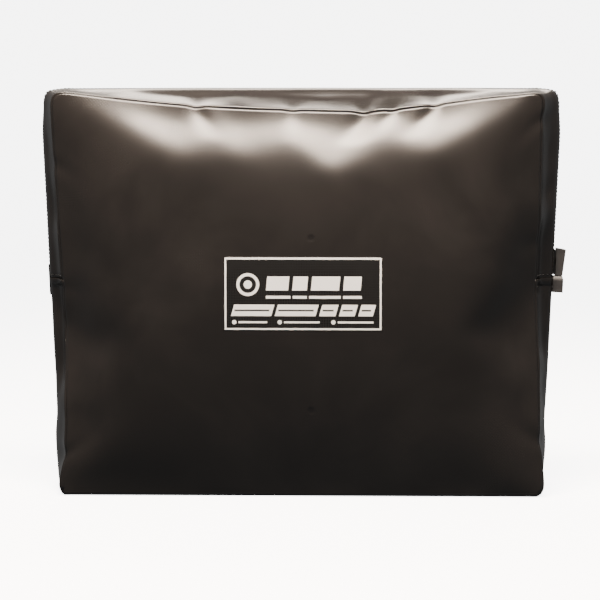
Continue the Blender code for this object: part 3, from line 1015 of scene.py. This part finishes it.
def label_pieces():
    """The label's ground, its white print and the dark lines on the tags."""
    ground = flat_shape()[0]
    bar(ground, 0, 0, LABEL_WIDTH, LABEL_HEIGHT, cell=0.0025)
    on_front(ground, LABEL_LIFT)
    ground = wall(cloth_mesh("label_ground", ground), 0.0001)

    white = flat_shape()[0]
    line, edge = 0.0015, 0.0006
    for bottom in (edge, LABEL_HEIGHT - edge - line):
        bar(white, edge, bottom, LABEL_WIDTH - 2 * edge, line)
    for left in (edge, LABEL_WIDTH - edge - line):
        bar(white, left, edge + line, line, LABEL_HEIGHT - 2 * edge - 2 * line)
    ring_of_ink(white, 0.0205, 0.0395, 0.0098, 0.0072)
    disc(white, 0.0205, 0.0395, 0.0036)
    for left, width in ((0.0360, 0.0190), (0.0585, 0.0125), (0.0745, 0.0240), (0.1020, 0.0150)):
        bar(white, left, 0.0345, width, 0.0120, slant=0.0012)
    for left, width in ((0.0360, 0.0210), (0.0590, 0.0120), (0.0730, 0.0270), (0.1020, 0.0160)):
        bar(white, left, 0.0275, width, 0.0024)
    for left, width in TAGS:
        bar(white, left, 0.0125, width, 0.0098, slant=0.0028)
    for left, width in ((0.0100, 0.0270), (0.0490, 0.0330), (0.0950, 0.0330)):
        disc(white, left - 0.0012, 0.0072, 0.0019)
        bar(white, left + 0.0025, 0.0064, width - 0.0025, 0.0016)
    on_front(white, LABEL_LIFT + INK)
    white = flat_ink(cloth_mesh("label_print_white", white))

    dark = flat_shape()[0]
    for left, width in TAGS:
        bar(dark, left + 0.0030, 0.0166, width - 0.0045, 0.0015)
    on_front(dark, LABEL_LIFT + 2 * INK)
    return ground, white, flat_ink(cloth_mesh("label_print_dark", dark))


label_ground, label_white, label_dark = label_pieces()


# ---------------------------------------------------------------- seal block and slider

SLIDER_HEIGHT = 0.200
SLIDER_RUN = (-0.0078, 0.0140)
LEAN = atan(ZIP_SLOPE)
ZIP_PLACE = Matrix.Translation((zip_line_x(SLIDER_HEIGHT), 0, SLIDER_HEIGHT)) @ Matrix.Rotation(LEAN, 4, "Y")


def block(shape, out, across, up):
    """A box between limits out of the bag, across the zip and up along it; gives back its points."""
    low, high = Vector((out[0], across[0], up[0])), Vector((out[1], across[1], up[1]))
    place = Matrix.Translation((low + high) / 2) @ Matrix.Diagonal((*(high - low), 1))
    return bmesh.ops.create_cube(shape, size=1, matrix=place)["verts"]


def slice_at(shape, axis, places):
    """Cuts the shape by planes across one axis, keeping both sides."""
    normal = Vector((axis == 0, axis == 1, axis == 2))
    for place in places:
        bmesh.ops.bisect_plane(shape, geom=shape.verts[:] + shape.edges[:] + shape.faces[:],
                               plane_co=normal * place, plane_no=normal)


def press(shape, chosen, way):
    """Extrudes the chosen faces as one region and moves them."""
    made = bmesh.ops.extrude_face_region(shape, geom=chosen)["geom"]
    bmesh.ops.translate(shape, verts=[item for item in made if isinstance(item, bmesh.types.BMVert)], vec=way)
    bmesh.ops.delete(shape, geom=chosen, context="FACES")


def faces_within(shape, facing, out=(-1, 1), across=(-1, 1), up=(-1, 1)):
    """The faces that look one way and whose middles lie within the limits."""
    shape.normal_update()
    found = []
    for face in shape.faces:
        middle = face.calc_center_median()
        inside = all(low < value < high for value, (low, high) in zip(middle, (out, across, up)))
        if inside and face.normal.dot(Vector(facing)) > 0.9:
            found.append(face)
    return found


def moulded(name, shape, bevel, segments=3):
    """Puts a hard piece in its place on the zip, its edges rounded."""
    bmesh.ops.recalc_face_normals(shape, faces=shape.faces[:])
    bmesh.ops.transform(shape, matrix=ZIP_PLACE, verts=shape.verts[:])
    piece = as_piece(name, shape)
    rounding = piece.modifiers.new("edges", "BEVEL")
    rounding.width = bevel
    rounding.segments = segments
    rounding.limit_method = "ANGLE"
    rounding.angle_limit = radians(35)
    rounding.harden_normals = True
    return piece


def seal_block():
    """The moulded block that a seal locks the tongue into, with a sloping collar under the handle."""
    shape = bmesh.new()
    block(shape, (0.0004, 0.0098), (-0.0090, 0.0090), (-0.0235, -0.0120))
    top = faces_within(shape, (0, 0, 1))
    made = bmesh.ops.extrude_face_region(shape, geom=top)["geom"]
    bmesh.ops.delete(shape, geom=top, context="FACES_ONLY")
    for point in (item for item in made if isinstance(item, bmesh.types.BMVert)):
        point.co = (0.0050 + (point.co.x - 0.0050) * 0.84, point.co.y * 0.79, -0.0092)
    slice_at(shape, 0, (0.0034, 0.0058))
    slice_at(shape, 1, (-0.0078, -0.0055, -0.0046, 0.0046, 0.0055, 0.0078))
    slice_at(shape, 2, (-0.0215, -0.0204, -0.0152, -0.0136))
    slot = faces_within(shape, (0, 0, 1), out=(0.0034, 0.0058), across=(-0.0055, 0.0055))
    press(shape, slot, (0, 0, -0.0128))
    window = faces_within(shape, (1, 0, 0), out=(0.0090, 1), across=(-0.0046, 0.0046), up=(-0.0204, -0.0152))
    press(shape, window, (-0.0034, 0, 0))
    rim = faces_within(shape, (1, 0, 0), out=(0.0090, 1), across=(-0.0078, 0.0078), up=(-0.0215, -0.0136))
    press(shape, rim, (-0.0004, 0, 0))
    return moulded("seal_block", shape, 0.00035)


def grip():
    """The handle on the slider, its face ribbed and its foot tapered."""
    shape = bmesh.new()
    block(shape, (0.0026, 0.0110), (-0.0070, 0.0070), (-0.0088, 0.0155))
    slice_at(shape, 1, (-0.0056, -0.0024, 0.0024, 0.0056))
    ribs = [-0.0066 + 0.0013 * k for k in range(13)]
    slice_at(shape, 2, [0.0005, 0.0075, 0.0128] + ribs)
    for k in range(0, 12, 2):
        groove = faces_within(shape, (1, 0, 0), out=(0.0100, 1), across=(-0.0056, 0.0056), up=(ribs[k], ribs[k + 1]))
        press(shape, groove, (-0.0005, 0, 0))
    nest = faces_within(shape, (-1, 0, 0), across=(-0.0024, 0.0024), up=(0.0005, 0.0075))
    press(shape, nest, (0.0034, 0, 0))
    for point in shape.verts:
        place = point.co
        taper = (0.0155 - place.z) / 0.0243
        if place.x > 0.006:
            place.x -= 0.0020 * taper
        if place.z > 0.0150 and place.x > 0.006:
            place.z -= 0.0012
        place.y *= 1 - 0.10 * taper
    return moulded("slider_handle", shape, 0.00030)


def slider():
    """The slider's two plates, their flanges, the wedge between the coils and the lugs that hold the pin."""
    shape = bmesh.new()
    for out in ((0.0004, 0.0018), (-0.0048, -0.0034)):
        block(shape, out, (-0.0065, 0.0065), SLIDER_RUN)
    block(shape, (-0.0036, 0.0006), (-0.0006, 0.0006), (-0.0068, -0.0008))
    for side in (-1, 1):
        limits = sorted((side * 0.0059, side * 0.0065))
        block(shape, (-0.0006, 0.0005), limits, SLIDER_RUN)
        block(shape, (-0.0035, -0.0026), limits, SLIDER_RUN)
        block(shape, (0.0011, 0.0054), sorted((side * 0.0012, side * 0.0020)), (0.0010, 0.0070))
    for point in shape.verts:
        if abs(point.co.y) > 0.0045:
            point.co.y *= 1 if point.co.z > 0 else 0.80
    return moulded("slider_shell", shape, 0.00022, 2)


housing = seal_block()
handle = grip()
shell = slider()


# ---------------------------------------------------------------- looks

def group(name, inputs, outputs):
    """An empty shader node group with number inputs and the given outputs."""
    tree = bpy.data.node_groups.new(name, "ShaderNodeTree")
    for word, value in inputs.items():
        socket = tree.interface.new_socket(word, in_out="INPUT", socket_type="NodeSocketFloat")
        socket.default_value = value
    for word in outputs:
        tree.interface.new_socket(word, in_out="OUTPUT", socket_type="NodeSocketFloat")
    return tree, tree.nodes.new("NodeGroupInput"), tree.nodes.new("NodeGroupOutput")


def feed(tree, socket, value):
    """Links a socket to another, or sets its number."""
    if isinstance(value, bpy.types.NodeSocket):
        tree.links.new(value, socket)
    elif value is not None:
        socket.default_value = value


def sums(tree, operation, *values):
    """A Math node; gives back its result."""
    node = tree.nodes.new("ShaderNodeMath")
    node.operation = operation
    for socket, value in zip(node.inputs, values):
        feed(tree, socket, value)
    return node.outputs[0]


def ranged(tree, value, low, high, to_low, to_high):
    """A clamped, smooth Map Range."""
    node = tree.nodes.new("ShaderNodeMapRange")
    node.interpolation_type = "SMOOTHSTEP"
    words = ("Value", "From Min", "From Max", "To Min", "To Max")
    for word, number in zip(words, (value, low, high, to_low, to_high)):
        feed(tree, node.inputs[word], number)
    return node.outputs["Result"]


def dressed(tree, shader, colour, gloss, normal):
    """Links the three looks of a shader."""
    for word, value in (("Base Color", colour), ("Roughness", gloss), ("Normal", normal)):
        tree.links.new(value, shader.inputs[word])


def dulled(tree, base, mask, share):
    """A number plus a share of a mask."""
    return sums(tree, "ADD", base, sums(tree, "MULTIPLY", mask, share))


def noise(tree, place, scale, detail=3.0, roughness=0.5, distortion=0.0):
    node = tree.nodes.new("ShaderNodeTexNoise")
    feed(tree, node.inputs["Vector"], place)
    for word, number in (("Scale", scale), ("Detail", detail), ("Roughness", roughness), ("Distortion", distortion)):
        feed(tree, node.inputs[word], number)
    return node.outputs["Fac"]


def object_place(tree):
    return tree.nodes.new("ShaderNodeTexCoord").outputs["Object"]


def flat_place(tree):
    """The piece's own flat coordinates, in metres."""
    cut = tree.nodes.new("ShaderNodeUVMap")
    cut.uv_map = "flat"
    scale = tree.nodes.new("ShaderNodeVectorMath")
    scale.operation = "SCALE"
    scale.inputs["Scale"].default_value = 0.1
    tree.links.new(cut.outputs["UV"], scale.inputs[0])
    return scale.outputs["Vector"]


def split(tree, vector):
    node = tree.nodes.new("ShaderNodeSeparateXYZ")
    tree.links.new(vector, node.inputs[0])
    return node.outputs


def weave_group():
    """A plain weave on the flat coordinates: Pitch between threads in metres."""
    tree, given, result = group("weave", {"Pitch": 0.0014, "Wander": 0.0002}, ("Height", "Thread"))
    flat = flat_place(tree)
    x, y, _ = split(tree, flat)
    wander = sums(tree, "MULTIPLY", sums(tree, "SUBTRACT", noise(tree, flat, 60, 2), 0.5), given.outputs["Wander"])
    x, y = sums(tree, "ADD", x, wander), sums(tree, "ADD", y, wander)
    waves = [sums(tree, "SINE", sums(tree, "DIVIDE", sums(tree, "MULTIPLY", axis, pi), given.outputs["Pitch"]))
             for axis in (x, y)]
    height = sums(tree, "MULTIPLY", *waves)
    tree.links.new(height, result.inputs["Height"])
    gaps = sums(tree, "ABSOLUTE", height)
    tree.links.new(gaps, result.inputs["Thread"])
    return tree


def rub_group():
    """Uneven handling: Broad is a cloudy mask, Fine a speckle and Scratch thin light rubs."""
    tree, given, result = group("rub", {"Scale": 9.0}, ("Broad", "Fine", "Scratch"))
    place = object_place(tree)
    tree.links.new(noise(tree, place, given.outputs["Scale"], 4, 0.55, 0.6), result.inputs["Broad"])
    tree.links.new(noise(tree, place, 900, 2, 0.6), result.inputs["Fine"])
    stretch = tree.nodes.new("ShaderNodeMapping")
    stretch.inputs["Rotation"].default_value = (0.3, 0.5, 0.4)
    stretch.inputs["Scale"].default_value = (14, 14, 160)
    tree.links.new(place, stretch.inputs["Vector"])
    thin = noise(tree, stretch.outputs["Vector"], 1.6, 2, 0.5, 1.2)
    tree.links.new(ranged(tree, thin, 0.66, 0.76, 0, 1), result.inputs["Scratch"])
    return tree


def grain_group():
    """Moulded texture: Size in grains per metre."""
    tree, given, result = group("grain", {"Size": 1500.0}, ("Height",))
    place = object_place(tree)
    cells = tree.nodes.new("ShaderNodeTexVoronoi")
    cells.feature = "SMOOTH_F1"
    tree.links.new(place, cells.inputs["Vector"])
    tree.links.new(given.outputs["Size"], cells.inputs["Scale"])
    fine = noise(tree, place, 2600, 2)
    tree.links.new(dulled(tree, cells.outputs["Distance"], fine, 0.5), result.inputs["Height"])
    return tree


WEAVE, RUB, GRAIN = weave_group(), rub_group(), grain_group()


def placed(tree, shared, **values):
    """A shared group placed in a material with its own values."""
    node = tree.nodes.new("ShaderNodeGroup")
    node.node_tree = shared
    for word, value in values.items():
        feed(tree, node.inputs[word], value)
    return node.outputs


def mixed(tree, share, first, second):
    """A colour between two, each a colour or a socket."""
    node = tree.nodes.new("ShaderNodeMix")
    node.data_type = "RGBA"
    feed(tree, node.inputs["Factor"], share)
    for socket, colour in ((node.inputs["A"], first), (node.inputs["B"], second)):
        sockets = [item for item in node.inputs if item.name == socket.name and item.type == "RGBA"]
        feed(tree, sockets[0], colour if isinstance(colour, bpy.types.NodeSocket) else (*colour, 1))
    return next(item for item in node.outputs if item.type == "RGBA")


def bumped(tree, height, strength, distance, normal=None):
    node = tree.nodes.new("ShaderNodeBump")
    feed(tree, node.inputs["Height"], height)
    node.inputs["Strength"].default_value = strength
    node.inputs["Distance"].default_value = distance
    feed(tree, node.inputs["Normal"], normal)
    return node.outputs["Normal"]


def material(name, roughness=0.5, metallic=0.0, **settings):
    """A material and its tree and shader; settings are plain numbers for the shader's own sockets."""
    made = bpy.data.materials.new(name)
    made.use_nodes = True
    shader = made.node_tree.nodes["Principled BSDF"]
    shader.inputs["Roughness"].default_value = roughness
    shader.inputs["Metallic"].default_value = metallic
    for word, value in settings.items():
        shader.inputs[word.replace("_", " ")].default_value = value
    return made, made.node_tree, shader


def coated_fabric(name, dark, light, roughness, weave=0.11, marks=()):
    """Satin coating on a woven scrim; marks are soft round dents, as flat places and a radius, whose colour is
    darkened as painted shade.
    """
    made, tree, shader = material(name)
    rub = placed(tree, RUB, Scale=9.0)
    threads_seen = placed(tree, WEAVE, Pitch=0.0014, Wander=0.0003)
    colour = mixed(tree, ranged(tree, rub["Broad"], 0.35, 0.7, 0, 1), dark, light)
    if marks:
        flat = flat_place(tree)
        dent_and_shade = None
        for x, z, radius in marks:
            away = tree.nodes.new("ShaderNodeVectorMath")
            away.operation = "DISTANCE"
            tree.links.new(flat, away.inputs[0])
            away.inputs[1].default_value = (x, z, 0)
            one = ranged(tree, away.outputs["Value"], radius * 0.35, radius * 1.25, 1, 0)
            dent_and_shade = one if dent_and_shade is None else sums(tree, "ADD", dent_and_shade, one)
        # Painted shade: the colour inside each dent is darkened towards near black.
        colour = mixed(tree, sums(tree, "MULTIPLY", dent_and_shade, 0.75), colour, (0.006, 0.005, 0.005))
    gloss = dulled(tree, roughness - 0.05, rub["Broad"], 0.10)
    gloss = dulled(tree, gloss, threads_seen["Thread"], -0.03)
    normal = bumped(tree, threads_seen["Height"], weave, 0.0002)
    normal = bumped(tree, rub["Fine"], 0.05, 0.0002, normal)
    if marks:
        normal = bumped(tree, sums(tree, "MULTIPLY", dent_and_shade, -1), 0.35, 0.0009, normal)
    dressed(tree, shader, colour, gloss, normal)
    return made


def scrim_back(name):
    """The uncoated side of the fabric: open woven polyester showing through a dull coat."""
    made, tree, shader = material(name)
    threads_seen = placed(tree, WEAVE, Pitch=0.0014, Wander=0.0005)
    rub = placed(tree, RUB, Scale=14.0)
    colour = mixed(tree, threads_seen["Thread"], (0.012, 0.011, 0.011), (0.045, 0.043, 0.042))
    colour = mixed(tree, sums(tree, "MULTIPLY", rub["Broad"], 0.3), colour, (0.03, 0.028, 0.027))
    dressed(tree, shader, colour, dulled(tree, 0.62, rub["Fine"], 0.12),
            bumped(tree, threads_seen["Height"], 0.5, 0.0003))
    return made


def ribbon(name, dark, light, roughness=0.78, pitch=0.0006):
    """Woven tape: fine cross ribs and fuzz."""
    made, tree, shader = material(name, Sheen_Weight=0.25, Sheen_Roughness=0.4)
    ribs = placed(tree, WEAVE, Pitch=pitch, Wander=0.0001)
    rub = placed(tree, RUB, Scale=22.0)
    colour = mixed(tree, ribs["Thread"], dark, light)
    colour = mixed(tree, sums(tree, "MULTIPLY", rub["Fine"], 0.35), colour, light)
    dressed(tree, shader, colour, dulled(tree, roughness - 0.06, rub["Broad"], 0.12),
            bumped(tree, ribs["Height"], 0.7, 0.00025))
    return made


def moulding(name, dark, light, roughness, grain=0.25):
    """Moulded plastic with a fine grain, dulled where it is handled."""
    made, tree, shader = material(name)
    rub = placed(tree, RUB, Scale=60.0)
    colour = mixed(tree, ranged(tree, rub["Broad"], 0.35, 0.7, 0, 1), dark, light)
    worn = [min(1, value * 2.2) for value in light]
    colour = mixed(tree, sums(tree, "MULTIPLY", rub["Scratch"], 0.25), colour, worn)
    dressed(tree, shader, colour, dulled(tree, roughness - 0.06, rub["Broad"], 0.14),
            bumped(tree, placed(tree, GRAIN, Size=1500.0)["Height"], grain, 0.0001))
    return made


def metal(name, dark, light, roughness):
    """Plated metal with drawn lines and dull spots."""
    made, tree, shader = material(name, metallic=1.0)
    rub = placed(tree, RUB, Scale=120.0)
    colour = mixed(tree, ranged(tree, rub["Broad"], 0.3, 0.7, 0, 1), dark, light)
    dressed(tree, shader, colour, dulled(tree, roughness - 0.05, rub["Broad"], 0.15),
            bumped(tree, rub["Scratch"], 0.15, 0.0001))
    return made


def ink(name, dark, light, roughness=0.45):
    """Screen ink, slightly uneven where it bridges the weave."""
    made, tree, shader = material(name)
    threads_seen = placed(tree, WEAVE, Pitch=0.0014, Wander=0.0003)
    rub = placed(tree, RUB, Scale=45.0)
    colour = mixed(tree, rub["Broad"], dark, light)
    dressed(tree, shader, colour, dulled(tree, roughness, rub["Fine"], 0.1),
            bumped(tree, threads_seen["Height"], 0.12, 0.0002))
    return made


def flat_of_front(x, z):
    """The flat place of the front panel's point that stands at x and z."""
    i, j = (float(value[0]) for value in front_place([x], [z]))
    cut = panel_cut(i, j)
    return cut.x, cut.z


# Two round dents on the front panel; their darkened colour is painted shade.
MARKS = [(*flat_of_front(0.0105, z), 0.0034) for z in (0.2275, 0.0780)]
FABRIC_DARK, FABRIC_LIGHT = (0.0080, 0.0069, 0.0064), (0.0125, 0.0108, 0.0100)
PANEL_CLOTH = coated_fabric("coated_fabric_marked", FABRIC_DARK, FABRIC_LIGHT, 0.26, marks=MARKS)
CLOTH_OUTSIDE = coated_fabric("coated_fabric", FABRIC_DARK, FABRIC_LIGHT, 0.26)
CLOTH_INSIDE = scrim_back("fabric_inside")
TAPE_RIBBON = ribbon("zip_ribbon", (0.006, 0.006, 0.006), (0.020, 0.019, 0.019))
BINDING_RIBBON = ribbon("binding_ribbon", (0.010, 0.009, 0.009), (0.030, 0.028, 0.027), pitch=0.0009)
THREAD = ribbon("black_thread", (0.006, 0.006, 0.006), (0.022, 0.020, 0.019), roughness=0.55, pitch=0.0003)
NYLON = moulding("nylon_coil", (0.010, 0.010, 0.010), (0.022, 0.021, 0.021), 0.34, grain=0.05)
PLASTIC = moulding("dark_plastic", (0.020, 0.020, 0.021), (0.034, 0.033, 0.034), 0.50)
BLACK_METAL = metal("blackened_metal", (0.020, 0.020, 0.022), (0.055, 0.053, 0.052), 0.40)
STEEL = metal("zinc_steel", (0.42, 0.43, 0.45), (0.62, 0.62, 0.63), 0.34)
LABEL_GROUND = coated_fabric("printed_vinyl", (0.0060, 0.0055, 0.0054), (0.0085, 0.0078, 0.0076), 0.30, weave=0.10)
WHITE_INK = ink("white_ink", (0.74, 0.74, 0.73), (0.86, 0.86, 0.85))
DARK_INK = ink("dark_ink", (0.02, 0.02, 0.02), (0.05, 0.05, 0.05))


def finished(piece, slot, materials, body, *nodes):
    """Gives a piece its materials, the body it rides on and the nodes it stands for; slot, the slot it paints from,
    is not used.
    """
    piece.data.materials.clear()
    for one in materials:
        piece.data.materials.append(one)
    if body == "mouth":
        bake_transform(piece)
    else:
        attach(piece, body)
    if nodes:
        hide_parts(*nodes)


SHELL = (CLOTH_OUTSIDE, CLOTH_INSIDE)
finished(front_panel, "coated_fabric", (PANEL_CLOTH, CLOTH_INSIDE), "mouth",
         "front_panel_lower", "front_panel_fold", "front_panel_upper")
finished(back_panel, "coated_fabric", SHELL, "bag_body", "back_panel")
finished(base_gusset, "coated_fabric", SHELL, "bag_body", "base_gusset")
finished(strip_front, "coated_fabric", SHELL, "mouth", "zip_gusset_front_upper", "zip_gusset_front_left",
         "zip_gusset_front_right", "gusset_fold_left", "gusset_fold_right")
finished(strip_back, "coated_fabric", SHELL, "bag_body", "zip_gusset_back")
finished(tape_front, "zip_tape", (TAPE_RIBBON,), "mouth", "zip_tape_front_upper", "zip_tape_front_left",
         "zip_tape_front_right")
finished(tape_back, "zip_tape", (TAPE_RIBBON,), "bag_body", "zip_tape_back")
finished(coil_front, "zip_coil", (NYLON,), "mouth", "zip_coil_front_upper", "zip_coil_front_left",
         "zip_coil_front_right")
finished(coil_back, "zip_coil", (NYLON,), "bag_body", "zip_coil_back")
finished(thread_front, "zip_tape", (THREAD,), "mouth")
finished(thread_back, "zip_tape", (THREAD,), "bag_body")
finished(patch, "coated_fabric", SHELL, "bag_body", "zip_end_patch_left")
finished(patch_thread, "zip_tape", (THREAD,), "bag_body")
finished(binding_front, "seam_binding", (BINDING_RIBBON,), "mouth", "front_seam_binding_lower",
         "front_seam_binding_upper")
finished(binding_back, "seam_binding", (BINDING_RIBBON,), "bag_body", "back_seam_binding")
finished(label_ground, "printed_vinyl", (LABEL_GROUND,), "mouth", "label_patch")
finished(label_white, "printed_vinyl", (WHITE_INK,), "mouth")
finished(label_dark, "printed_vinyl", (DARK_INK,), "mouth")
finished(housing, "dark_plastic", (PLASTIC,), "bag_body", "seal_housing")
finished(handle, "dark_plastic", (PLASTIC,), "zip_slider", "slider_grip")
finished(shell, "blackened_metal", (BLACK_METAL,), "zip_slider", "slider_body")
for node, look in (("seal_backplate", PLASTIC), ("housing_screw_front", STEEL), ("housing_screw_back", STEEL),
                   ("slider_tongue", PLASTIC), ("slider_pin", STEEL)):
    for slot in frame["nodes"][node].material_slots:
        slot.link = "OBJECT"
        slot.material = look


# ---------------------------------------------------------------- studio

def backdrop():
    """A pale floor that curves up into a round wall."""
    shape = bmesh.new()
    flat_reach, bend, height = 3.6, 1.4, 5.0
    profile = [(0.0, 0.0), (flat_reach, 0.0)]
    profile += [(flat_reach + bend * sin(radians(a)), bend * (1 - cos(radians(a)))) for a in range(10, 91, 10)]
    profile.append((flat_reach + bend, height))
    line = [shape.verts.new((reach, 0, rise - 0.0003)) for reach, rise in profile]
    edges = [shape.edges.new(pair) for pair in zip(line, line[1:])]
    bmesh.ops.spin(shape, geom=line + edges, cent=(0, 0, 0), axis=(0, 0, 1), angle=2 * pi, steps=96, use_merge=True)
    bmesh.ops.remove_doubles(shape, verts=shape.verts[:], dist=1e-5)
    bmesh.ops.recalc_face_normals(shape, faces=shape.faces[:])
    bmesh.ops.reverse_faces(shape, faces=shape.faces[:])
    floor = as_piece("backdrop", shape)
    floor.data.materials.append(material(
        "pale_floor", 0.9, Base_Color=(0.9, 0.9, 0.9, 1), Emission_Color=(1, 1, 1, 1), Emission_Strength=6.0)[0])
    floor.visible_glossy = False
    floor.visible_diffuse = False


def studio():
    """The room's soft light, three lamps and the camera."""
    scene = bpy.context.scene
    world = bpy.data.worlds.new("studio")
    scene.world = world
    world.use_nodes = True
    background = world.node_tree.nodes["Background"]
    background.inputs["Color"].default_value = (1, 1, 1, 1)
    background.inputs["Strength"].default_value = 0.24
    backdrop()
    target = Vector((0, 0, 0.18))
    for name, place, width, depth, power, colour in (
        ("top_softbox", (-0.06, -0.61, 1.42), 0.92, 0.45, 112, (1.0, 0.82, 0.66)),
        ("back_strip", (0, 0.9, 1.2), 1.4, 0.5, 32, (1.0, 0.88, 0.76)),
        ("high_fill", (0, -1.0, 2.6), 1.0, 1.0, 44, (1.0, 0.98, 0.96)),
    ):
        lamp = bpy.data.lights.new(name, "AREA")
        lamp.shape = "RECTANGLE"
        lamp.size, lamp.size_y = width, depth
        lamp.energy = power
        lamp.color = colour
        light = bpy.data.objects.new(name, lamp)
        scene.collection.objects.link(light)
        light.location = place
        light.rotation_euler = (target - Vector(place)).to_track_quat("-Z", "Y").to_euler()

    camera = bpy.data.objects.new("camera", bpy.data.cameras.new("camera"))
    scene.collection.objects.link(camera)
    distance, rise, swing = 2.0, radians(4.5), radians(1.5)
    aim = Vector((-0.0009, 0, 0.1685))
    away = Vector((sin(swing) * cos(rise), -cos(swing) * cos(rise), sin(rise)))
    camera.location = aim + away * distance
    camera.rotation_euler = (-away).to_track_quat("-Z", "Y").to_euler()
    camera.data.angle = 2 * atan(0.2608 / (distance - 0.045))
    scene.camera = camera


studio()
